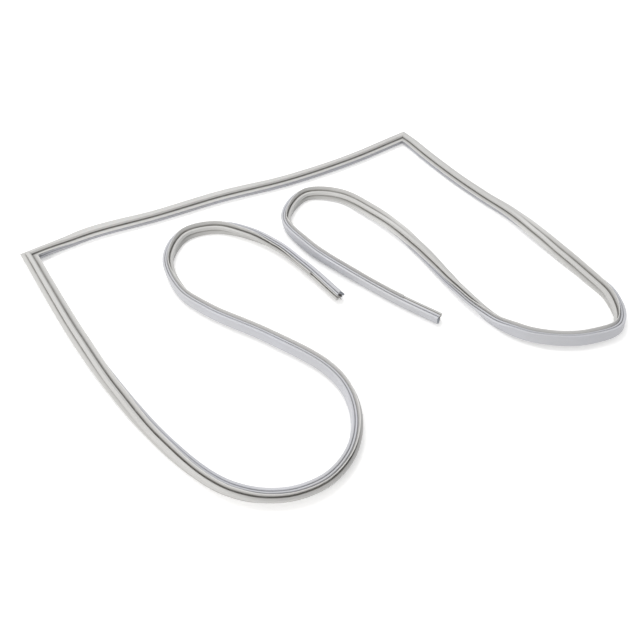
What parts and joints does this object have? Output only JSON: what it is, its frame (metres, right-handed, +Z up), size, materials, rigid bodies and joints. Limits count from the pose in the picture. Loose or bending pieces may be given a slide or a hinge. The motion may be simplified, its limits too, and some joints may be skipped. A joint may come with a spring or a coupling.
{
  "type": "refrigerator door gasket",
  "caption": "Magnetic door seal strip with welded corners and open bottom, lying slack on the floor with both side runs curled back.",
  "frame": {"origin": "centre of the lying strip's outline, on the floor it lies on", "axes": "+Z up from the floor, X along the picture's width, Y away from the viewer"},
  "size_m": [1.1472, 0.9632, 0.029],
  "materials": {
    "vinyl": "satin light grey flexible vinyl",
    "magnet": "matt dark grey magnet rubber"
  },
  "bodies": {
    "root": {"gasket_profile": "vinyl", "magnet_strip_left": "magnet", "magnet_strip_top": "magnet", "magnet_strip_right": "magnet"}
  },
  "joints": []
}
